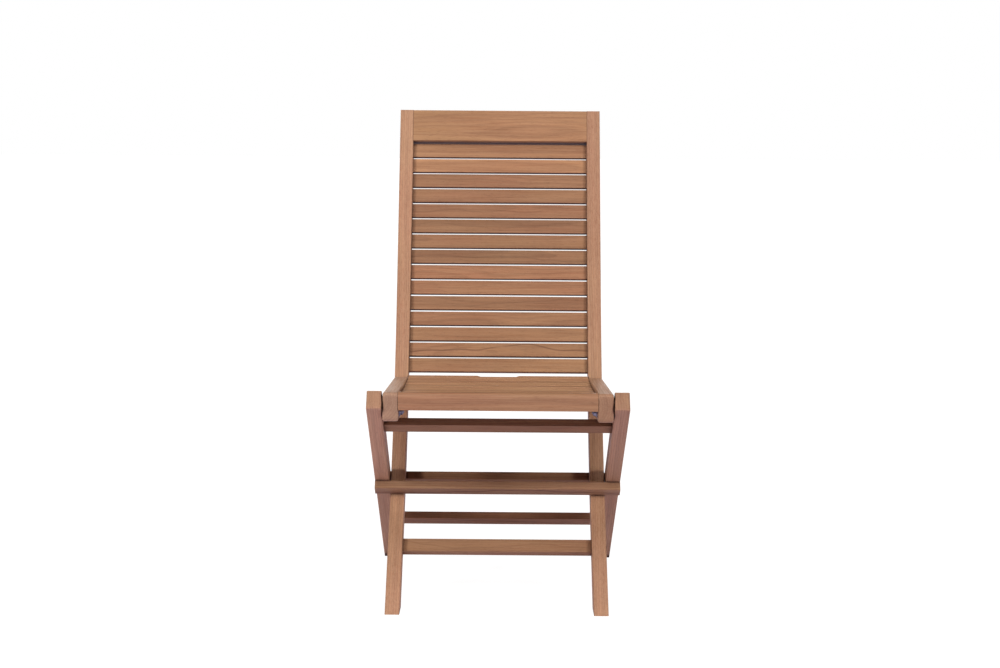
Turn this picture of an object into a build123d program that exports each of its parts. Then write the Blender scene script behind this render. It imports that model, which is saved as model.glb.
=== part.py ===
from build123d import *
import os
from math import cos, degrees, radians, sin, tan

# Wooden folding chair.  X is across the chair, Y runs from front to back, Z is up.
# The origin is on the floor, midway between the chair's foremost and rearmost points.
# Lengths are in millimetres, leans are degrees from the vertical.

# Widths across the chair
LEG_FRAME_WIDTH = 485.2
BACK_FRAME_WIDTH = 425.9
MEMBER_THICKNESS = 28.0
SEAT_RAIL_THICKNESS = 28.6

# Stiles: a straight lower part, a long bend and a straight upper part
STILE_DEPTH = 42.0
LOWER_LEAN = 42.6
UPPER_LEAN = 20.0
BEND_START_HEIGHT = 153.0
BEND_END_HEIGHT = 580.0
OVERALL_HEIGHT = 957.5

# Legs: straight, crossing the stiles
LEG_DEPTH = 38.0
LEG_LEAN = 52.7
CROSSING_ALONG_STILE = 301.7
CROSSING_TO_SEAT_PIVOT = 303.2
SEAT_PIVOT_TO_TIP = 45.2
LEG_TIP_ROUNDING = 4.0

# Cross bars
BAR_WIDTH = 28.0
BAR_THICKNESS = 16.0
STOP_BAR_WIDTH = 26.0
STOP_BAR_THICKNESS = 17.5
FRONT_STRETCHER_ALONG_STILE = 159.0
REAR_STRETCHER_FROM_CROSSING = 166.6
UPPER_BAR_FROM_CROSSING = 248.0
FRONT_STOP_FROM_CROSSING = 35.7
REAR_STOP_FROM_CROSSING = 35.0
SUPPORT_RAIL_ALONG_STILE = 478.4
SUPPORT_RAIL_RECESS = 3.0

# Back
TOP_RAIL_WIDTH = 69.0
TOP_RAIL_THICKNESS = 26.0
BACK_SLAT_COUNT = 15
BACK_SLAT_WIDTH = 29.3
BACK_SLAT_THICKNESS = 10.5
BACK_SLAT_PITCH = 33.5
BACK_SLAT_RECESS = 10.0

# Seat, measured from the seat pivot along and square to the seat rails
SEAT_TILT = 3.4
RAIL_FRONT = 38.0
RAIL_TOP = 37.2
RAIL_BOTTOM = 16.0
RAIL_TOP_LENGTH = 339.0
RAIL_BOTTOM_LENGTH = 315.5
RAIL_FRONT_ROUNDING = 9.0
RAIL_CHIN_ROUNDING = 6.0
RAIL_REAR_ROUNDING = 5.0
RAIL_OUTER_EDGE_RADIUS = 4.0
RAIL_INNER_EDGE_RADIUS = 2.5
SEAT_SLAT_COUNT = 11
SEAT_SLAT_WIDTH = 28.2
SEAT_SLAT_THICKNESS = 10.0
SEAT_SLAT_HALF_SPAN = 183.6
DISH_FRONT = (6.0, 31.7)
DISH_MIDDLE = (180.0, 30.2)
DISH_REAR = (336.5, 38.2)
FRONT_SLAT_HEIGHT = 32.5
FRONT_SLAT_THICKNESS = 26.0
FRONT_SLAT_ROUNDING = 11.0
FRONT_SLAT_TENON_HEIGHT = 24.0
NOTCH_LENGTH = 88.0
NOTCH_DEPTH = 14.0
NOTCH_END_ANGLE = 60.0
BATTEN_THICKNESS = 16.0
BATTEN_BOTTOM = 5.2
BATTEN_GAP = 0.1
BATTEN_FRONT = 12.0

# Joints and fixings
TENON_LENGTH = 12.0
TENON_SHOULDER = 2.0
JOINT_FIT = 0.05
EDGE_RADIUS = 1.5
SLAT_EDGE_RADIUS = 1.2
BOLT_RADIUS = 3.95
BOLT_HOLE_RADIUS = 4.0
BOLT_HEAD_RADIUS = 9.0
BOLT_HEAD_HEIGHT = 2.5
HEAD_RECESS = 3.0
HEAD_CHAMFER = 0.5
HEX_SOCKET = 5.0
HEX_SOCKET_DEPTH = 1.6
WASHER_RADIUS = 9.0
WASHER_THICKNESS = 1.4
NUT_ACROSS_FLATS = 13.0
NUT_HEIGHT = 6.0
NUT_CHAMFER = 0.8
NUT_ROUNDING = 7.1
NUT_RECESS = 10.0
NUT_RECESS_RADIUS = 10.5
BOLT_END = 2.0
BOLT_END_ROUNDING = 1.0
SIDE_PLAY = 0.15
DOWEL_RADIUS = 4.0
DOWEL_LENGTH = 26.0
DOWEL_SPACING = 14.0
SCREW_RADIUS = 1.8
SCREW_HEAD_RADIUS = 3.6
SCREW_HEAD_HEIGHT = 2.4
SLAT_SCREW_LENGTH = 22.0
SLAT_SCREW_BITE = 6.5
REAR_SCREW_MARGIN = 8.0
BATTEN_SCREW_LENGTH = 32.0
BATTEN_SCREW_POSITIONS = (55.8, 188.6, 321.4)
BATTEN_SCREW_HEIGHT = 12.0
THROUGH = 1.0

# Worked out from the sizes above
stile_outer = BACK_FRAME_WIDTH / 2
stile_inner = stile_outer - MEMBER_THICKNESS
leg_outer = LEG_FRAME_WIDTH / 2
leg_inner = leg_outer - MEMBER_THICKNESS
rail_inner = stile_outer - SEAT_RAIL_THICKNESS
low, high, lean = radians(LOWER_LEAN), radians(UPPER_LEAN), radians(LEG_LEAN)
bend_radius = (BEND_END_HEIGHT - BEND_START_HEIGHT) / (sin(low) - sin(high))
lower_length = BEND_START_HEIGHT / cos(low)
bend_length = bend_radius * (low - high)
upper_length = (OVERALL_HEIGHT - BEND_END_HEIGHT) / cos(high)
stile_length = lower_length + bend_length + upper_length
leg_up = (-sin(lean), cos(lean))
leg_under = (-cos(lean), -sin(lean))


def along(start, direction, distance):
    """The point at a distance from start, in the side view."""
    return (start[0] + direction[0] * distance, start[1] + direction[1] * distance)


def on_stile(length, depth):
    """A point of the stile and its lean, from the length along its front face and the depth behind it."""
    if length <= lower_length:
        front = (length * sin(low), length * cos(low))
        angle = low
    else:
        angle = max(high, low - (length - lower_length) / bend_radius)
        front = (
            BEND_START_HEIGHT * tan(low) + bend_radius * (cos(angle) - cos(low)),
            BEND_START_HEIGHT + bend_radius * (sin(low) - sin(angle)),
        )
        front = along(front, (sin(angle), cos(angle)), max(0.0, length - lower_length - bend_length))
    return along(front, (cos(angle), -sin(angle)), depth), degrees(angle)


crossing = on_stile(CROSSING_ALONG_STILE, STILE_DEPTH / 2)[0]
seat_pivot = along(crossing, leg_up, CROSSING_TO_SEAT_PIVOT)
leg_tip = along(crossing, leg_up, CROSSING_TO_SEAT_PIVOT + SEAT_PIVOT_TO_TIP)
tip_corner = along(leg_tip, leg_under, LEG_DEPTH / 2 - LEG_TIP_ROUNDING)
foremost = along(tip_corner, leg_up, -LEG_TIP_ROUNDING)[0] - LEG_TIP_ROUNDING
rearmost = on_stile(stile_length, STILE_DEPTH)[0][0]
middle = (foremost + rearmost) / 2


def side_plane(x):
    """The plane of the side view at x: its own axes are the chair's Y and Z."""
    return Plane(origin=(x, -middle, 0), x_dir=(0, 1, 0), z_dir=(1, 0, 0))


def seat_plane(x):
    """The side view's plane at x, turned to the seat's tilt, with its origin on the seat pivot."""
    tilt = radians(SEAT_TILT)
    return Plane(
        origin=(x, seat_pivot[0] - middle, seat_pivot[1]),
        x_dir=(0, cos(tilt), -sin(tilt)),
        z_dir=(1, 0, 0),
    )


def cross_plane(point, normal):
    """A plane through a side view point, with X across the chair and the given side view normal."""
    return Plane(
        origin=(0, point[0] - middle, point[1]), x_dir=(1, 0, 0), z_dir=(0, normal[0], normal[1])
    )


def stile_plane(length, depth):
    """The plane of a cross member of the back frame: Y runs up the stile, Z faces the front."""
    point, angle = on_stile(length, depth)
    return cross_plane(point, (-cos(radians(angle)), sin(radians(angle))))


def leg_plane(distance, depth):
    """The plane of a cross member of the leg frame: Y runs up the leg, Z faces forward and down."""
    return cross_plane(along(along(crossing, leg_up, distance), leg_under, depth), leg_under)


def across(sketch, thickness):
    """A side view sketch thickened towards +X."""
    return extrude(sketch, thickness, dir=(1, 0, 0))


def rounded_bar(plane, length, width, thickness, radius):
    """A straight bar across the chair with its four long edges rounded."""
    bar = Box(length, width, thickness)
    return plane * fillet(bar.edges().filter_by(Axis.X), radius)


def tenon(plane, half_span, width, thickness, fit=0.0):
    """The reduced bar that reaches into the sockets at both sides."""
    return plane * Box(
        2 * (half_span + TENON_LENGTH + fit),
        width - 2 * TENON_SHOULDER + 2 * fit,
        thickness - 2 * TENON_SHOULDER + 2 * fit,
    )


def tenoned_bar(plane, half_span, width, thickness, radius):
    """A cross member with a tenon on each end."""
    bar = rounded_bar(plane, 2 * half_span, width, thickness, radius)
    return bar + tenon(plane, half_span, width, thickness)


def along_x(radius, x_start, x_end, point):
    """A round bar along X through a side view point."""
    start, end = min(x_start, x_end), max(x_start, x_end)
    return across(side_plane(start) * Pos(*point) * Circle(radius), end - start)


def both_sides(piece):
    """A right hand piece and its mirror image, as one group."""
    return Compound([piece, mirror(piece, Plane.YZ)])


# Cross members of the back frame: name, plane, width and thickness
stile_bars = {
    "front_stretcher": (
        stile_plane(FRONT_STRETCHER_ALONG_STILE, STILE_DEPTH / 2),
        BAR_WIDTH, BAR_THICKNESS, EDGE_RADIUS,
    ),
    "seat_support_rail": (
        stile_plane(SUPPORT_RAIL_ALONG_STILE, BAR_THICKNESS / 2 + SUPPORT_RAIL_RECESS),
        BAR_WIDTH, BAR_THICKNESS, EDGE_RADIUS,
    ),
    "top_rail": (
        stile_plane(stile_length - TOP_RAIL_WIDTH / 2, TOP_RAIL_THICKNESS / 2),
        TOP_RAIL_WIDTH, TOP_RAIL_THICKNESS, EDGE_RADIUS,
    ),
}
first_slat = stile_length - TOP_RAIL_WIDTH - BACK_SLAT_PITCH + BACK_SLAT_WIDTH / 2
for number in range(BACK_SLAT_COUNT):
    stile_bars[f"back_slat_{number + 1:02d}"] = (
        stile_plane(first_slat - number * BACK_SLAT_PITCH, BACK_SLAT_RECESS + BACK_SLAT_THICKNESS / 2),
        BACK_SLAT_WIDTH, BACK_SLAT_THICKNESS, SLAT_EDGE_RADIUS,
    )

# Cross members between the legs
leg_bars = {
    "upper_leg_bar": leg_plane(UPPER_BAR_FROM_CROSSING, 0),
    "rear_stretcher": leg_plane(-REAR_STRETCHER_FROM_CROSSING, 0),
}

# Bars across both legs, flat on their lower and upper faces
stop_depth = (LEG_DEPTH + STOP_BAR_THICKNESS) / 2
stop_bars = {
    "front_stop_bar": leg_plane(FRONT_STOP_FROM_CROSSING, stop_depth),
    "rear_stop_bar": leg_plane(-REAR_STOP_FROM_CROSSING, -stop_depth),
}


def stile_edge(depth):
    """One long edge of the stile's outline, at a depth behind its front face."""
    foot = (depth / cos(low), 0)
    bend_start = along(on_stile(lower_length, 0)[0], (cos(low), -sin(low)), depth)
    lower = Line(foot, bend_start)
    bend = JernArc(
        start=bend_start,
        tangent=(sin(low), cos(low)),
        radius=bend_radius + depth,
        arc_size=LOWER_LEAN - UPPER_LEAN,
    )
    upper = Line(bend @ 1, on_stile(stile_length, depth)[0])
    return lower + bend + upper


def stile():
    """The right stile with its sockets and bolt hole."""
    front, back = stile_edge(0), stile_edge(STILE_DEPTH)
    top = Line(on_stile(stile_length, 0)[0], on_stile(stile_length, STILE_DEPTH)[0])
    foot = Line((0, 0), (STILE_DEPTH / cos(low), 0))
    solid = across(side_plane(stile_inner) * make_face(front + top + back + foot), MEMBER_THICKNESS)
    long_edges = [edge for edge in solid.edges() if edge.length > 1.5 * STILE_DEPTH]
    solid = fillet(long_edges, EDGE_RADIUS)
    for plane, width, thickness, _ in stile_bars.values():
        solid -= tenon(plane, stile_inner, width, thickness, JOINT_FIT)
    solid -= along_x(NUT_RECESS_RADIUS, stile_inner - THROUGH, stile_inner + NUT_RECESS, crossing)
    return solid - along_x(BOLT_HOLE_RADIUS, stile_inner - THROUGH, stile_outer + THROUGH, crossing)


def leg():
    """The right leg with its sockets, bolt holes and head recesses."""
    outline = []
    for side in (LEG_DEPTH / 2, -LEG_DEPTH / 2):
        centre_to_edge = along(crossing, leg_under, side)
        to_floor = centre_to_edge[1] / leg_up[1]
        outline.append(along(centre_to_edge, leg_up, -to_floor))
        outline.append(along(leg_tip, leg_under, side))
    shape = Polygon(outline[0], outline[1], outline[3], outline[2], align=None)
    solid = across(side_plane(leg_inner) * shape, MEMBER_THICKNESS)
    solid = fillet(solid.faces().sort_by(Axis.Z)[-1].edges(), LEG_TIP_ROUNDING)
    solid = fillet([edge for edge in solid.edges() if edge.length > 2 * LEG_DEPTH], EDGE_RADIUS)
    for plane in leg_bars.values():
        solid -= tenon(plane, leg_inner, BAR_WIDTH, BAR_THICKNESS, JOINT_FIT)
    for dowel in stop_dowel_shapes(JOINT_FIT):
        solid -= dowel
    for pivot in (crossing, seat_pivot):
        solid -= along_x(BOLT_HOLE_RADIUS, leg_inner - THROUGH, leg_outer + THROUGH, pivot)
        solid -= along_x(BOLT_HEAD_RADIUS + JOINT_FIT, leg_outer - HEAD_RECESS, leg_outer + THROUGH, pivot)
    return solid


def dowels(side, fit=0.0):
    """The two right hand dowels of a stop bar: side is 1 for the front bar, -1 for the rear one."""
    distance = FRONT_STOP_FROM_CROSSING if side > 0 else -REAR_STOP_FROM_CROSSING
    pins = []
    for step in (-0.5, 0.5):
        x = (leg_inner + leg_outer) / 2 + step * DOWEL_SPACING
        pin = Cylinder(DOWEL_RADIUS + fit, DOWEL_LENGTH + 2 * fit)
        pins.append(leg_plane(distance, side * LEG_DEPTH / 2) * Pos(x, 0, 0) * pin)
    return pins


def stop_dowel_shapes(fit):
    """Every right hand dowel, a little larger, to cut its hole."""
    return dowels(1, fit) + dowels(-1, fit)


def stop_bar(name, side):
    """A bar across both legs, with its dowel holes and softened ends."""
    bar = rounded_bar(
        stop_bars[name], LEG_FRAME_WIDTH, STOP_BAR_WIDTH, STOP_BAR_THICKNESS, EDGE_RADIUS
    )
    for dowel in dowels(side, JOINT_FIT):
        bar -= dowel
        bar -= mirror(dowel, Plane.YZ)
    return bar


def pivot_bolt(point, inner_face):
    """A flush bolt with a hexagon socket, from the leg's outer face to the nut inside."""
    head_top = leg_outer - (HEAD_RECESS - BOLT_HEAD_HEIGHT)
    end = inner_face - SIDE_PLAY - WASHER_THICKNESS - NUT_HEIGHT - BOLT_END
    shaft = along_x(BOLT_RADIUS, end, head_top, point)
    shaft = fillet(shaft.faces().sort_by(Axis.X)[0].edges(), BOLT_END_ROUNDING)
    head = along_x(BOLT_HEAD_RADIUS, head_top - BOLT_HEAD_HEIGHT, head_top, point)
    head = chamfer(head.faces().sort_by(Axis.X)[-1].edges(), HEAD_CHAMFER)
    socket = side_plane(head_top - HEX_SOCKET_DEPTH) * Pos(*point) * RegularPolygon(HEX_SOCKET / 2, 6)
    return shaft + head - across(socket, HEX_SOCKET_DEPTH + THROUGH)


def washer(x_inner, point):
    """A flat ring on the bolt."""
    ring = along_x(WASHER_RADIUS, x_inner, x_inner + WASHER_THICKNESS, point)
    hole = along_x(BOLT_HOLE_RADIUS, x_inner - THROUGH, x_inner + WASHER_THICKNESS + THROUGH, point)
    return ring - hole


def nut(point, inner_face):
    """A hexagon nut, square on the inner washer."""
    x_outer = inner_face - SIDE_PLAY - WASHER_THICKNESS
    profile = Pos(*point) * RegularPolygon(NUT_ACROSS_FLATS / 2, 6, major_radius=False)
    body = across(side_plane(x_outer - NUT_HEIGHT) * profile, NUT_HEIGHT)
    rounding = along_x(NUT_ROUNDING, x_outer - NUT_HEIGHT, x_outer, point)
    rounding = chamfer(rounding.faces().sort_by(Axis.X)[0].edges(), NUT_CHAMFER)
    hole = along_x(BOLT_HOLE_RADIUS, x_outer - NUT_HEIGHT - THROUGH, x_outer + THROUGH, point)
    return (body & rounding) - hole


def pivot_set(name, point, inner_face):
    """The bolts, spacers, washers and nuts of both pivots on one axis."""
    return {
        f"{name}_bolts": both_sides(pivot_bolt(point, inner_face)),
        f"{name}_spacers": both_sides(washer(leg_inner - SIDE_PLAY - WASHER_THICKNESS, point)),
        f"{name}_washers": both_sides(washer(inner_face - SIDE_PLAY - WASHER_THICKNESS, point)),
        f"{name}_nuts": both_sides(nut(point, inner_face)),
    }


dish = ThreePointArc(DISH_FRONT, DISH_MIDDLE, DISH_REAR)


def seat_slat_frame(number):
    """The plane of a seat slat's top face: Y runs rearward along the dish, Z faces up."""
    position = number / (SEAT_SLAT_COUNT - 1)
    point, tangent = dish @ position, dish % position
    seat = seat_plane(0)
    rearward = seat.from_local_coords(Vector(tangent.X, tangent.Y, 0)) - seat.origin
    return Plane(
        origin=seat.from_local_coords(Vector(point.X, point.Y, 0)),
        x_dir=(1, 0, 0),
        z_dir=Vector(1, 0, 0).cross(rearward),
    )


def front_slat_plane():
    """The middle of the deep front slat."""
    seat = seat_plane(0)
    centre = Vector(-RAIL_FRONT + FRONT_SLAT_THICKNESS / 2, RAIL_TOP - FRONT_SLAT_HEIGHT / 2, 0)
    return Plane(origin=seat.from_local_coords(centre), x_dir=(1, 0, 0), z_dir=-seat.x_dir)


def front_seat_slat():
    """The deep slat between the rails' front ends, well rounded on top."""
    bar = Box(2 * rail_inner, FRONT_SLAT_HEIGHT, FRONT_SLAT_THICKNESS)
    edges = bar.edges().filter_by(Axis.X).sort_by(Axis.Y)
    top_front = edges[2:].sort_by(Axis.Z)[-1]
    bar = fillet([top_front], FRONT_SLAT_ROUNDING)
    bar = fillet(bar.edges().filter_by(Axis.X).group_by(Axis.Y)[0], SLAT_EDGE_RADIUS)
    plane = front_slat_plane()
    return plane * bar + tenon(plane, rail_inner, FRONT_SLAT_TENON_HEIGHT, FRONT_SLAT_THICKNESS)


def seat_rail():
    """The right side rail of the seat, rounded in front and cut to the stile's lean behind."""
    corners = [
        (-RAIL_FRONT, -RAIL_BOTTOM),
        (RAIL_BOTTOM_LENGTH, -RAIL_BOTTOM),
        (RAIL_TOP_LENGTH, RAIL_TOP),
        (-RAIL_FRONT, RAIL_TOP),
    ]
    shape = Polygon(*corners, align=None)
    shape = fillet(shape.vertices().group_by(Axis.X)[0].sort_by(Axis.Y)[-1], RAIL_FRONT_ROUNDING)
    shape = fillet(shape.vertices().sort_by(Axis.X)[:2].sort_by(Axis.Y)[0], RAIL_CHIN_ROUNDING)
    shape = fillet(shape.vertices().sort_by(Axis.X)[-2:], RAIL_REAR_ROUNDING)
    solid = across(seat_plane(rail_inner) * shape, SEAT_RAIL_THICKNESS)
    solid = fillet(solid.faces().sort_by(Axis.X)[-1].edges(), RAIL_OUTER_EDGE_RADIUS)
    solid = fillet(solid.faces().sort_by(Axis.X)[0].edges(), RAIL_INNER_EDGE_RADIUS)
    solid -= tenon(
        front_slat_plane(), rail_inner, FRONT_SLAT_TENON_HEIGHT, FRONT_SLAT_THICKNESS, JOINT_FIT
    )
    for screw in batten_screw_shapes(JOINT_FIT):
        solid -= screw
    return solid - along_x(BOLT_HOLE_RADIUS, rail_inner - THROUGH, stile_outer + THROUGH, seat_pivot)


def screw(length, fit=0.0):
    """A wood screw along Z, its head's flat at the origin."""
    shank = Pos(0, 0, length / 2) * Cylinder(SCREW_RADIUS + fit, length + fit)
    head = Pos(0, 0, SCREW_HEAD_HEIGHT / 2) * Cylinder(SCREW_HEAD_RADIUS + fit, SCREW_HEAD_HEIGHT + fit)
    return shank + head


def batten_screw_shapes(fit=0.0):
    """The right hand screws through the batten into the rail."""
    x_head = rail_inner - BATTEN_THICKNESS
    places = []
    for position in BATTEN_SCREW_POSITIONS:
        plane = seat_plane(x_head) * Pos(position, BATTEN_SCREW_HEIGHT, 0)
        places.append(plane * screw(BATTEN_SCREW_LENGTH, fit))
    return places


def slat_screw_places():
    """The planes of the right hand slat screws' heads, facing up."""
    seat = seat_plane(rail_inner - BATTEN_THICKNESS / 2)
    places = []
    for number in range(1, SEAT_SLAT_COUNT):
        point = dish @ (number / (SEAT_SLAT_COUNT - 1))
        reach = min(point.X, DISH_REAR[0] - REAR_SCREW_MARGIN)
        height = point.Y - SEAT_SLAT_THICKNESS + SLAT_SCREW_BITE - SLAT_SCREW_LENGTH
        start = seat.from_local_coords(Vector(reach, height, 0))
        places.append(Plane(origin=start, x_dir=(1, 0, 0), z_dir=seat.y_dir))
    return places


def slat_screw_shapes(fit=0.0):
    """The right hand screws from below through the batten into each slat, their heads sunk to suit."""
    screws = []
    for place in slat_screw_places():
        screws.append(place * screw(SLAT_SCREW_LENGTH, fit))
    return screws


def seat_batten():
    """The right hand bearer under the slats, its top following the dish."""
    arc = Pos(0, -SEAT_SLAT_THICKNESS - BATTEN_GAP) * dish
    profile = make_face(
        arc
        + Line(arc @ 1, (DISH_REAR[0], BATTEN_BOTTOM))
        + Line((DISH_REAR[0], BATTEN_BOTTOM), (DISH_FRONT[0], BATTEN_BOTTOM))
        + Line((DISH_FRONT[0], BATTEN_BOTTOM), arc @ 0)
    )
    solid = across(seat_plane(rail_inner - BATTEN_THICKNESS) * profile, BATTEN_THICKNESS)
    front_room = Box(2 * BATTEN_FRONT, 2 * RAIL_TOP, 2 * BATTEN_THICKNESS)
    solid -= seat_plane(rail_inner - BATTEN_THICKNESS / 2) * front_room
    for screw_shape in slat_screw_shapes(JOINT_FIT) + batten_screw_shapes(JOINT_FIT):
        solid -= screw_shape
    for place in slat_screw_places():
        bore = Cylinder(SCREW_HEAD_RADIUS + JOINT_FIT, BATTEN_THICKNESS)
        solid -= place * Pos(0, 0, JOINT_FIT - BATTEN_THICKNESS / 2) * bore
    return solid


def seat_slat(number):
    """One thin seat slat; the rearmost has the finger notch."""
    bar = Box(2 * SEAT_SLAT_HALF_SPAN, SEAT_SLAT_WIDTH, SEAT_SLAT_THICKNESS)
    bar = fillet(bar.edges().filter_by(Axis.X), SLAT_EDGE_RADIUS)
    if number == SEAT_SLAT_COUNT - 1:
        notch = Trapezoid(NOTCH_LENGTH, NOTCH_DEPTH, NOTCH_END_ANGLE)
        notch = Pos(0, SEAT_SLAT_WIDTH / 2 - NOTCH_DEPTH / 2) * mirror(notch, Plane.XZ)
        bar -= extrude(notch, SEAT_SLAT_THICKNESS, both=True)
    slat = seat_slat_frame(number) * Pos(0, 0, -SEAT_SLAT_THICKNESS / 2) * bar
    if number > 0:
        for shape in slat_screw_shapes(JOINT_FIT)[number - 1:number]:
            slat -= shape
            slat -= mirror(shape, Plane.YZ)
    return slat


def back_frame():
    """The standing frame: stiles, top rail, back slats and bars."""
    right = stile()
    pieces = {"right_stile": right, "left_stile": mirror(right, Plane.YZ)}
    for name, (plane, width, thickness, radius) in stile_bars.items():
        pieces[name] = tenoned_bar(plane, stile_inner, width, thickness, radius)
    return pieces


def leg_frame():
    """The turning frame: legs, bars, dowels and pivots."""
    right = leg()
    pieces = {"right_leg": right, "left_leg": mirror(right, Plane.YZ)}
    for name, plane in leg_bars.items():
        pieces[name] = tenoned_bar(plane, leg_inner, BAR_WIDTH, BAR_THICKNESS, EDGE_RADIUS)
    for name, side in (("front_stop", 1), ("rear_stop", -1)):
        pieces[f"{name}_bar"] = stop_bar(f"{name}_bar", side)
        pins = dowels(side)
        pieces[f"{name}_dowels"] = Compound(pins + [mirror(pin, Plane.YZ) for pin in pins])
    pieces.update(pivot_set("crossing", crossing, stile_inner + NUT_RECESS))
    pieces.update(pivot_set("seat", seat_pivot, rail_inner))
    return pieces


def seat():
    """The seat: rails, slats, battens and screws."""
    rail, batten = seat_rail(), seat_batten()
    pieces = {
        "right_seat_rail": rail,
        "left_seat_rail": mirror(rail, Plane.YZ),
        "right_seat_batten": batten,
        "left_seat_batten": mirror(batten, Plane.YZ),
        "front_seat_slat": front_seat_slat(),
    }
    for number in range(SEAT_SLAT_COUNT):
        pieces[f"seat_slat_{number + 1:02d}"] = seat_slat(number)
    for name, shapes in (("slat_screws", slat_screw_shapes()), ("batten_screws", batten_screw_shapes())):
        pieces[name] = Compound(shapes + [mirror(shape, Plane.YZ) for shape in shapes])
    return pieces


def main():
    os.makedirs("parts", exist_ok=True)
    for name, piece in {**back_frame(), **leg_frame(), **seat()}.items():
        piece.label = name
        export_step(piece, f"parts/{name}.step")


main()
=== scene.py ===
from math import radians
import random

import bpy
from mathutils import Matrix, Vector


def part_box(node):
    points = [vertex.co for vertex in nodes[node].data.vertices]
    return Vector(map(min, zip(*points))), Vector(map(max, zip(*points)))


# The looks of a slatted teak folding chair: wood and steel materials, floor, light and camera.
# Lengths are in metres and places are in the CAD model's frame.

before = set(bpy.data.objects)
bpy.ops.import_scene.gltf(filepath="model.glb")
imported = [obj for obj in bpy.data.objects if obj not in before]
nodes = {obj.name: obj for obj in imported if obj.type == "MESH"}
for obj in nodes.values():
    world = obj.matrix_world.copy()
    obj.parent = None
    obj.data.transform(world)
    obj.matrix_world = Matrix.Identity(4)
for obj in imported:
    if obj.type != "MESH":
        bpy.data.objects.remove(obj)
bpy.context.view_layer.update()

ACROSS = Vector((1, 0, 0))

# Leans of the straight members from the vertical, and the seat's tilt, in degrees
STILE_LEAN = 30.0
BACK_LEAN = 20.0
FOOT_LEAN = 42.6
LEG_LEAN = -52.7
SEAT_TILT = -3.4

# Brightness, saturation and redness (-1 golden, 1 red) of each board, and how far its rings wander.
# Some tones also hold painted light and shade, as noted on their rows
BOARD_TONES_AND_PAINTED_LIGHT = {
    # The left stile, leg and seat rail are lighter than the right ones: painted light, showing the left
    # side as more strongly lit
    "left_stile": (1.05, 0.97, 0.25, 0.003),
    "right_stile": (1.00, 0.97, 0.30, 0.003),
    "left_leg": (1.14, 0.94, 0.15, 0.010),
    "right_leg": (0.96, 0.95, 0.15, 0.010),
    "left_seat_rail": (1.00, 0.86, 0.00, 0.012),
    "right_seat_rail": (0.90, 0.94, 0.10, 0.012),
    "left_seat_batten": (0.80, 1.00, 0.20, 0.010),
    "right_seat_batten": (0.80, 1.00, 0.20, 0.010),
    "top_rail": (0.90, 1.06, -0.50, 0.026),
    "front_seat_slat": (0.84, 1.02, 0.50, 0.014),
    "front_stretcher": (0.80, 1.02, -0.10, 0.024),
    "seat_support_rail": (0.84, 1.04, 0.10, 0.020),
    # The upper leg bar, rear stretcher and rear stop bar are darker and redder: painted shade, as they
    # lie in the seat's shadow
    "upper_leg_bar": (0.62, 1.06, 0.60, 0.030),
    "rear_stretcher": (0.78, 1.04, 0.60, 0.030),
    "front_stop_bar": (0.74, 1.00, 0.00, 0.034),
    "rear_stop_bar": (0.58, 1.08, 0.60, 0.030),
    "front_stop_dowels": (0.86, 1.00, 0.20, 0.010),
    "rear_stop_dowels": (0.86, 1.00, 0.20, 0.010),
}

# Brightness and redness of the slats, from the top of the back down and from the front of the seat
BACK_SLAT_TONES = (
    (0.88, 0.1), (1.02, 0.1), (0.72, 0.7), (0.72, 0.3), (0.75, 0.9),
    (0.67, 0.3), (0.73, 0.1), (0.64, 0.1), (0.86, 0.9), (0.87, 0.8),
    (0.72, 0.6), (0.76, 0.3), (0.82, 0.1), (0.83, 0.1), (0.78, 0.1),
)
SEAT_SLAT_TONES = (
    (1.00, 0.0), (0.90, 0.1), (1.08, -0.2), (0.92, 0.0), (1.03, -0.3), (1.10, -0.2),
    (0.94, 0.0), (1.05, -0.2), (0.92, 0.1), (1.04, 0.0), (1.00, 0.2),
)
BACK_SLAT_SATURATION = 1.06
SEAT_SLAT_SATURATION = 1.0
BACK_SLAT_FIGURES = (
    0.020, 0.018, 0.024, 0.020, 0.040, 0.046, 0.022, 0.040,
    0.024, 0.022, 0.040, 0.024, 0.020, 0.044, 0.024,
)
SEAT_SLAT_FIGURE = 0.02

# Strength of the dark wandering line in a few boards
STREAKS = {
    "front_stop_bar": 1.0, "rear_stretcher": 0.5, "front_stretcher": 0.3,
    "back_slat_05": 0.3, "back_slat_06": 0.2, "back_slat_08": 0.3, "back_slat_11": 0.2,
    "back_slat_14": 0.8, "seat_slat_04": 0.4,
}

# Boards whose rings wander less than this are sawn with the heart of the log far to one side
STRAIGHT_FIGURE = 0.012
QUARTERED_HEART = 0.35

# Growth rings and wider colour bands for each metre of the log's radius
RINGS = 210.0
BANDS = 61.0

# Radius of the lighter edges, partly sanded wear and partly a painted highlight along the rounding, and
# reach of the painted shade that darkens narrow gaps
EDGE_LIGHTENING_RADIUS = 0.0016
GAP_SHADE_REACH = 0.012

# Azimuth and elevation of each soft light, its strength, its spread and its colour
WARM = (1.0, 0.965, 0.93)
SOFT_WARM = (1.0, 0.97, 0.94)
LIGHTS = {
    "key_right": (45, 29, 1.36, 10, WARM),
    "key_left": (-45, 29, 1.48, 10, WARM),
    "overhead": (0, 70, 1.33, 30, SOFT_WARM),
    "back": (180, 5, 1.1, 40, SOFT_WARM),
}
FILL = 0.06

FLOOR_HALF_WIDTH = 60.0
FLOOR_GLOW = 1.15
FLOOR_GLOW_SHARE = 0.84

CAMERA_PLACE = (-0.0009, -3.4927, 0.909)
CAMERA_DOWN = 6.54
CAMERA_YAW = -0.06
CAMERA_ROLL = 0.42
CAMERA_LENS = 63.0


# ---------------------------------------------------------------- node tree helpers

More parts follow.
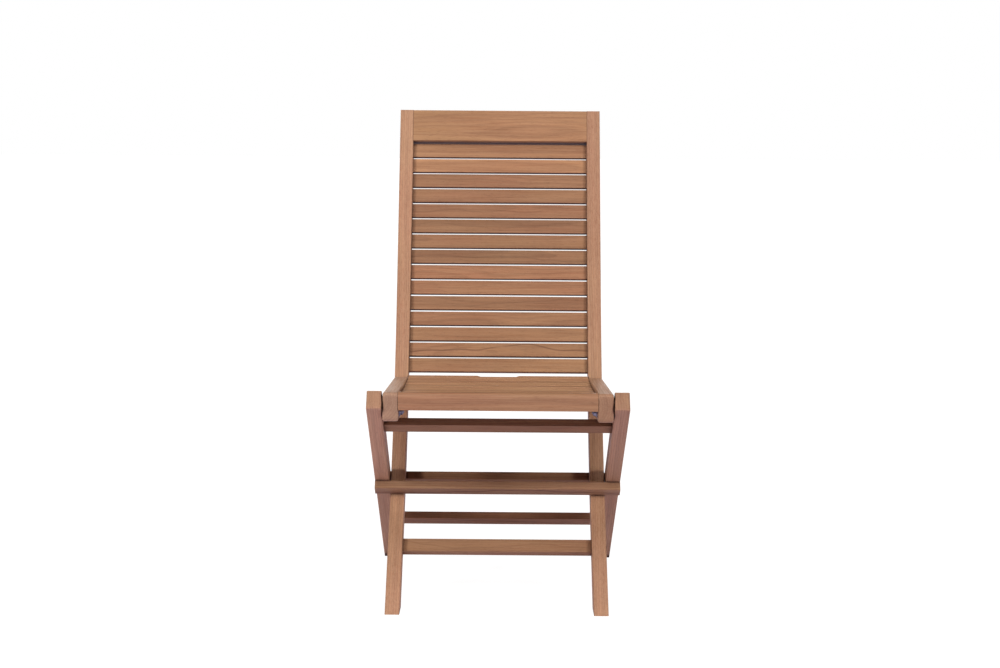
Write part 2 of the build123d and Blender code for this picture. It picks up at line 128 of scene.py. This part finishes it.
def add(tree, kind, links=None, **settings):
    """A shader node with its settings, its inputs set from links: a socket joins, a value is stored."""
    node = tree.nodes.new(kind)
    for name, value in settings.items():
        setattr(node, name, value)
    for name, value in (links or {}).items():
        if isinstance(value, bpy.types.NodeSocket):
            tree.links.new(value, node.inputs[name])
        else:
            node.inputs[name].default_value = value
    return node


def compute(tree, operation, first, second=0.0, clamp=False):
    links = {0: first, 1: second}
    return add(tree, "ShaderNodeMath", links, operation=operation, use_clamp=clamp).outputs[0]


def scaled(tree, value, factor):
    return compute(tree, "MULTIPLY", value, factor)


def vector_math(tree, operation, first, second):
    node = add(tree, "ShaderNodeVectorMath", {0: first, 1: second}, operation=operation)
    return node.outputs["Value" if operation in ("DOT_PRODUCT", "LENGTH") else "Vector"]


def remap(tree, value, low, high, to_low=0.0, to_high=1.0):
    links = {"Value": value, "From Min": low, "From Max": high, "To Min": to_low, "To Max": to_high}
    return add(tree, "ShaderNodeMapRange", links, interpolation_type="SMOOTHSTEP").outputs["Result"]


def noise(tree, vector, scale, detail=2.0, roughness=0.5):
    links = {"Vector": vector, "Scale": scale, "Detail": detail, "Roughness": roughness}
    return add(tree, "ShaderNodeTexNoise", links).outputs["Fac"]


def stretched_noise(tree, vector, stretch, detail=2.0, roughness=0.5, scale=1.0):
    """Noise with its own number of cells to the metre along each axis."""
    return noise(tree, vector_math(tree, "MULTIPLY", vector, stretch), scale, detail, roughness)


def mix(tree, factor, first, second):
    links = {"Factor": factor, 6: first, 7: second}
    return add(tree, "ShaderNodeMix", links, data_type="RGBA").outputs[2]


def layered(tree, base, layers):
    """The base with each layer's colour laid over it, as strong as its factor says."""
    for factor, over in layers:
        base = mix(tree, factor, base, colour(*over))
    return base


def colour(red, green, blue):
    """A linear colour from 0 to 255 screen values."""
    def linear(value):
        value /= 255
        return value / 12.92 if value < 0.04045 else ((value + 0.055) / 1.055) ** 2.4
    return (linear(red), linear(green), linear(blue), 1.0)


def new_material(name):
    material = bpy.data.materials.new(name)
    material.use_nodes = True
    material.node_tree.nodes.clear()
    return material


# ---------------------------------------------------------------- teak

def teak_sockets(group):
    """The group's inputs and outputs."""
    for name in ("Grain", "Shift"):
        group.interface.new_socket(name, in_out="INPUT", socket_type="NodeSocketVector")
    for name in ("End", "Lightness", "Saturation", "Redness", "Figure", "WearAndHighlight", "Streak", "GapShade"):
        group.interface.new_socket(name, in_out="INPUT", socket_type="NodeSocketFloat")
    group.interface.new_socket("Colour", in_out="OUTPUT", socket_type="NodeSocketColor")
    for name in ("Roughness", "Height"):
        group.interface.new_socket(name, in_out="OUTPUT", socket_type="NodeSocketFloat")


def saw_teeth(tree, radius, pitch, rise, fall):
    """Bands round the heart that darken slowly from rise and end sharply from fall."""
    part = compute(tree, "FRACT", scaled(tree, radius, pitch))
    return scaled(tree, remap(tree, part, *rise), remap(tree, part, 1.0, fall))


def log_radius(tree, place, figure):
    """The distance from the heart, which wanders slowly so that flat sawn faces show long flames."""
    sway = stretched_noise(tree, place, (3.2, 14.0, 14.0), 2.0, 0.45)
    sway = scaled(tree, compute(tree, "SUBTRACT", sway, 0.5), figure)
    swayed = add(tree, "ShaderNodeCombineXYZ", {"Y": sway, "Z": scaled(tree, sway, 0.7)}).outputs[0]
    flat = vector_math(tree, "MULTIPLY", vector_math(tree, "ADD", place, swayed), (0.0, 1.0, 1.0))
    return vector_math(tree, "LENGTH", flat, (0, 0, 0))


def wandering_line(tree, source, place):
    """A dark line that wanders along the board and fades in and out."""
    wave = stretched_noise(tree, place, (4.0, 0.0, 0.0))
    across = add(tree, "ShaderNodeSeparateXYZ", {0: source["Grain"]}).outputs["Y"]
    apart = compute(tree, "SUBTRACT", across, remap(tree, wave, 0.2, 0.8, -0.016, 0.016))
    line = remap(tree, compute(tree, "ABSOLUTE", apart), 0.0003, 0.0026, 1.0, 0.0)
    fade = remap(tree, stretched_noise(tree, place, (9.0, 3.0, 3.0)), 0.30, 0.46)
    return scaled(tree, scaled(tree, line, fade), source["Streak"])


def clear_wood(tree, place, broad, redness):
    """The colour between the rings, from golden to red."""
    broad = remap(tree, broad, 0.3, 0.7)
    golden = mix(tree, broad, colour(170, 128, 92), colour(182, 140, 103))
    red = mix(tree, broad, colour(163, 113, 84), colour(176, 124, 94))
    hue = stretched_noise(tree, place, (3.0, 12.0, 12.0), 1.0, 0.5, 1.3)
    shifted = compute(tree, "ADD", redness, remap(tree, hue, 0.35, 0.65, -0.25, 0.25), clamp=True)
    return mix(tree, shifted, golden, red)


def teak_group():
    """Solid teak: rings round the heart of the log, fibres and pores along the grain, and end grain,
    with painted shade in narrow gaps and lighter edges that are partly a painted highlight.

    Grain runs along the first axis of the Grain input. Shift picks another place in the log.
    """
    group = bpy.data.node_groups.new("teak", "ShaderNodeTree")
    teak_sockets(group)
    source = group.nodes.new("NodeGroupInput").outputs
    place = vector_math(group, "ADD", source["Grain"], source["Shift"])
    radius = log_radius(group, place, source["Figure"])
    late = saw_teeth(group, radius, RINGS, (0.35, 0.93), 0.95)
    wide = saw_teeth(group, radius, BANDS, (0.2, 0.9), 0.93)
    fibre = stretched_noise(group, place, (9.0, 520.0, 520.0), 3.0, 0.65)
    pore = remap(group, stretched_noise(group, place, (70.0, 1900.0, 1900.0), 1.0), 0.60, 0.72)
    band = stretched_noise(group, place, (2.0, 95.0, 95.0), 2.0, 0.6)
    broad = stretched_noise(group, place, (4.5, 22.0, 22.0))

    wood = layered(group, clear_wood(group, place, broad, source["Redness"]), (
        (scaled(group, late, 0.34), (122, 82, 58)),
        (scaled(group, wide, 0.25), (120, 80, 58)),
        (remap(group, band, 0.35, 0.75, 0.0, 0.30), (138, 96, 70)),
        (remap(group, fibre, 0.3, 0.75, 0.22, 0.0), (214, 176, 138)),
        (scaled(group, pore, 0.45), (92, 58, 42)),
        (scaled(group, source["End"], 0.35), (120, 84, 60)),
        (scaled(group, wandering_line(group, source, place), 0.7), (98, 60, 42)),
        # Lighter edges: partly sanded wear, partly a painted highlight where the rounded edges catch
        # the light
        (scaled(group, source["WearAndHighlight"], remap(group, broad, 0.3, 0.7, 0.0, 0.24)), (212, 172, 136)),
        # Painted shade: the colour darkens in narrow gaps and between slats, where ambient occlusion
        # finds little open space
        (scaled(group, source["GapShade"], 0.9), (58, 28, 20)),
    ))
    tone = {"Value": source["Lightness"], "Saturation": source["Saturation"], "Color": wood}
    toned = add(group, "ShaderNodeHueSaturation", tone).outputs["Color"]

    rough = remap(group, fibre, 0.3, 0.75, 0.50, 0.66)
    rough = compute(group, "ADD", rough, scaled(group, source["End"], 0.15))
    height = compute(group, "ADD", scaled(group, fibre, 0.35), scaled(group, late, 0.25))
    height = compute(group, "SUBTRACT", height, scaled(group, pore, 0.6))
    add(group, "NodeGroupOutput", {"Colour": toned, "Roughness": rough, "Height": height})
    return group


teak = teak_group()
chance = random.Random(11)


def place_in_log(figure):
    """A random place along the log and round its heart."""
    heart = chance.uniform(0.018, 0.05)
    along, aside = chance.uniform(-9, 9), chance.choice((-1, 1)) * chance.uniform(0.0, 0.02)
    if figure < STRAIGHT_FIGURE:
        return along, QUARTERED_HEART + aside, 0.0
    return along, aside, heart


def board_coordinates(tree, node, coordinates, grain, face):
    """Places from the board's centre: along its grain, across it and through its widest face."""
    low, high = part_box(node)
    centre = (Vector(low) + Vector(high)) / 2
    local = vector_math(tree, "SUBTRACT", coordinates["Object"], centre)
    directions = zip("XYZ", (grain, face.cross(grain), face))
    axes = {name: vector_math(tree, "DOT_PRODUCT", local, axis) for name, axis in directions}
    return add(tree, "ShaderNodeCombineXYZ", axes).outputs[0]


def teak_material(node, grain, face, lightness, saturation, redness, figure):
    """Teak for one board: grain is its length's direction and face the normal of its widest face."""
    material = new_material(f"teak_{node}")
    tree = material.node_tree
    grain, face = grain.normalized(), face.normalized()
    coordinates = tree.nodes.new("ShaderNodeTexCoord").outputs
    facing = compute(tree, "ABSOLUTE", vector_math(tree, "DOT_PRODUCT", coordinates["Normal"], grain))
    # Rounded edges found by the bevel normal; their lightening is partly wear and partly a painted
    # highlight
    rounded = add(tree, "ShaderNodeBevel", {"Radius": EDGE_LIGHTENING_RADIUS}, samples=4).outputs[0]
    normal = tree.nodes.new("ShaderNodeNewGeometry").outputs["Normal"]
    # Painted shade in narrow gaps, measured by ambient occlusion
    openness = add(tree, "ShaderNodeAmbientOcclusion", {"Distance": GAP_SHADE_REACH}, samples=6).outputs["AO"]
    wood = add(tree, "ShaderNodeGroup", node_tree=teak, links={
        "Grain": board_coordinates(tree, node, coordinates, grain, face),
        "Shift": place_in_log(figure),
        "End": remap(tree, facing, 0.80, 0.95),
        "Lightness": lightness,
        "Saturation": saturation,
        "Redness": 0.5 + 0.5 * redness,
        "Figure": figure,
        "Streak": STREAKS.get(node, 0.0),
        "GapShade": remap(tree, openness, 0.35, 0.82, 1.0, 0.0),
        "WearAndHighlight": remap(tree, vector_math(tree, "DOT_PRODUCT", rounded, normal), 0.99, 0.88),
    }).outputs
    bump = add(tree, "ShaderNodeBump", {"Strength": 0.35, "Distance": 0.0004, "Height": wood["Height"]})
    shader = add(tree, "ShaderNodeBsdfPrincipled", {
        "Base Color": wood["Colour"],
        "Roughness": wood["Roughness"],
        "Normal": bump.outputs[0],
        "Specular IOR Level": 0.35,
    })
    add(tree, "ShaderNodeOutputMaterial", {"Surface": shader.outputs[0]})
    return material


def dress(node, material):
    """The node's only material."""
    piece = nodes[node]
    piece.data.materials.clear()
    piece.data.materials.append(material)


def leaning(degrees):
    """A side view direction leaning back from the vertical."""
    return Matrix.Rotation(-radians(degrees), 3, "X") @ Vector((0, 0, 1))


def front_of(direction):
    """The forward normal of a member that runs along a side view direction."""
    return direction.cross(ACROSS) * -1


def board_cut(name):
    """The direction of a board's grain and the normal of its widest face."""
    stile, leg, seat = leaning(STILE_LEAN), leaning(LEG_LEAN), leaning(90 - SEAT_TILT)
    crosswise = {
        "top_rail": leaning(BACK_LEAN),
        "seat_support_rail": leaning(BACK_LEAN),
        "front_stretcher": leaning(FOOT_LEAN),
        "front_seat_slat": leaning(-SEAT_TILT),
    }
    lengthwise = {
        "stile": (stile, front_of(stile)),
        "leg": (leg, front_of(leg)),
        "rail": (seat, ACROSS),
        "batten": (seat, ACROSS),
        "dowels": (front_of(leg), leg),
    }
    if name in crosswise:
        return ACROSS, front_of(crosswise[name])
    return lengthwise.get(name.rsplit("_", 1)[1], (ACROSS, front_of(leg)))


def dress_wood():
    """Each board gets its own piece of the log."""
    back_face, seat_face = front_of(leaning(BACK_LEAN)), front_of(leaning(90 - SEAT_TILT))
    for name, tones in BOARD_TONES_AND_PAINTED_LIGHT.items():
        dress(name, teak_material(name, *board_cut(name), *tones))
    for number, (lightness, redness) in enumerate(BACK_SLAT_TONES, 1):
        name = f"back_slat_{number:02d}"
        tones = (lightness, BACK_SLAT_SATURATION, redness, BACK_SLAT_FIGURES[number - 1])
        dress(name, teak_material(name, ACROSS, back_face, *tones))
    for number, (lightness, redness) in enumerate(SEAT_SLAT_TONES, 1):
        name = f"seat_slat_{number:02d}"
        tones = (lightness, SEAT_SLAT_SATURATION, redness, SEAT_SLAT_FIGURE)
        dress(name, teak_material(name, ACROSS, seat_face, *tones))


# ---------------------------------------------------------------- hardware

def steel_material():
    """Zinc plated steel: a little mottled, with fine turning marks."""
    material = new_material("zinc_steel")
    tree = material.node_tree
    place = tree.nodes.new("ShaderNodeTexCoord").outputs["Object"]
    cloud = noise(tree, place, 260.0, 3.0, 0.6)
    marks = stretched_noise(tree, place, (6000.0, 900.0, 900.0), 2.0, 0.6)
    tint = mix(tree, remap(tree, cloud, 0.35, 0.65), colour(78, 72, 84), colour(150, 150, 164))
    bump = add(tree, "ShaderNodeBump", {"Strength": 0.2, "Distance": 0.0001, "Height": marks})
    shader = add(tree, "ShaderNodeBsdfPrincipled", {
        "Base Color": tint,
        "Metallic": 1.0,
        "Roughness": remap(tree, cloud, 0.3, 0.7, 0.28, 0.45),
        "Normal": bump.outputs[0],
    })
    add(tree, "ShaderNodeOutputMaterial", {"Surface": shader.outputs[0]})
    return material


def dress_hardware():
    """One steel for the pivots and the screws."""
    steel = steel_material()
    for pivot in ("crossing", "seat"):
        for kind in ("bolts", "spacers", "washers", "nuts"):
            dress(f"{pivot}_{kind}", steel)
    for name in ("slat_screws", "batten_screws"):
        dress(name, steel)


# ---------------------------------------------------------------- floor, light and camera

def camera_ray(tree):
    return tree.nodes.new("ShaderNodeLightPath").outputs["Is Camera Ray"]


def floor_material():
    """Pale and nearly shadowless to the eye, with a faint violet cast in the light it throws back."""
    material = new_material("pale_floor")
    tree = material.node_tree
    seen = camera_ray(tree)
    cloud = noise(tree, tree.nodes.new("ShaderNodeTexCoord").outputs["Object"], 3.0, 4.0)
    pale = mix(tree, cloud, (0.93, 0.92, 0.95, 1.0), (0.97, 0.96, 0.98, 1.0))
    shader = add(tree, "ShaderNodeBsdfPrincipled", {
        "Base Color": mix(tree, seen, (0.86, 0.80, 1.0, 1.0), pale),
        "Roughness": 0.9,
        "Specular IOR Level": 0.1,
    })
    glow = add(tree, "ShaderNodeEmission", {"Color": (1.0, 1.0, 1.0, 1.0), "Strength": FLOOR_GLOW})
    share = scaled(tree, seen, FLOOR_GLOW_SHARE)
    both = add(tree, "ShaderNodeMixShader", {0: share, 1: shader.outputs[0], 2: glow.outputs[0]})
    add(tree, "ShaderNodeOutputMaterial", {"Surface": both.outputs[0]})
    return material


def floor():
    """A wide pale floor under the chair."""
    half = FLOOR_HALF_WIDTH
    corners = [(-half, -half, 0), (half, -half, 0), (half, half, 0), (-half, half, 0)]
    mesh = bpy.data.meshes.new("floor")
    mesh.from_pydata(corners, [], [(0, 1, 2, 3)])
    mesh.materials.append(floor_material())
    plane = bpy.data.objects.new("floor", mesh)
    bpy.context.collection.objects.link(plane)


def softbox(name, azimuth, elevation, strength, spread, tint):
    """A large soft light, far enough away to light the whole floor evenly."""
    light = bpy.data.lights.new(name, "SUN")
    light.energy = strength
    light.angle = radians(spread)
    light.color = tint
    lamp = bpy.data.objects.new(name, light)
    tilt = Matrix.Rotation(-radians(elevation), 3, "X")
    toward = Matrix.Rotation(radians(azimuth), 3, "Z") @ tilt @ Vector((0, -1, 0))
    lamp.rotation_mode = "QUATERNION"
    lamp.rotation_quaternion = toward.to_track_quat("Z", "Y")
    bpy.context.collection.objects.link(lamp)


def sky():
    """A surround that looks white and gives a weak, even fill."""
    world = bpy.data.worlds.new("surround")
    world.use_nodes = True
    tree = world.node_tree
    tree.nodes.clear()
    fill = add(tree, "ShaderNodeBackground", {"Color": (1.0, 0.95, 0.96, 1.0), "Strength": FILL})
    white = add(tree, "ShaderNodeBackground", {"Color": (1.0, 1.0, 1.0, 1.0), "Strength": 1.0})
    links = {0: camera_ray(tree), 1: fill.outputs[0], 2: white.outputs[0]}
    both = add(tree, "ShaderNodeMixShader", links)
    add(tree, "ShaderNodeOutputWorld", {"Surface": both.outputs[0]})
    bpy.context.scene.world = world


def camera():
    """A long lens from the front, just below the back's top, tipped down towards the seat."""
    data = bpy.data.cameras.new("camera")
    data.sensor_width = 36.0
    data.lens = CAMERA_LENS
    data.clip_end = 200.0
    eye = bpy.data.objects.new("camera", data)
    eye.rotation_mode = "XYZ"
    eye.location = CAMERA_PLACE
    yaw = Matrix.Rotation(radians(CAMERA_YAW), 3, "Z")
    pitch = Matrix.Rotation(radians(90 - CAMERA_DOWN), 3, "X")
    roll = Matrix.Rotation(radians(CAMERA_ROLL), 3, "Z")
    eye.rotation_euler = (yaw @ pitch @ roll).to_euler("XYZ")
    bpy.context.collection.objects.link(eye)
    bpy.context.scene.camera = eye


bpy.context.scene.view_settings.view_transform = "Standard"
camera()
floor()
sky()
for name, settings in LIGHTS.items():
    softbox(name, *settings)
dress_wood()
dress_hardware()
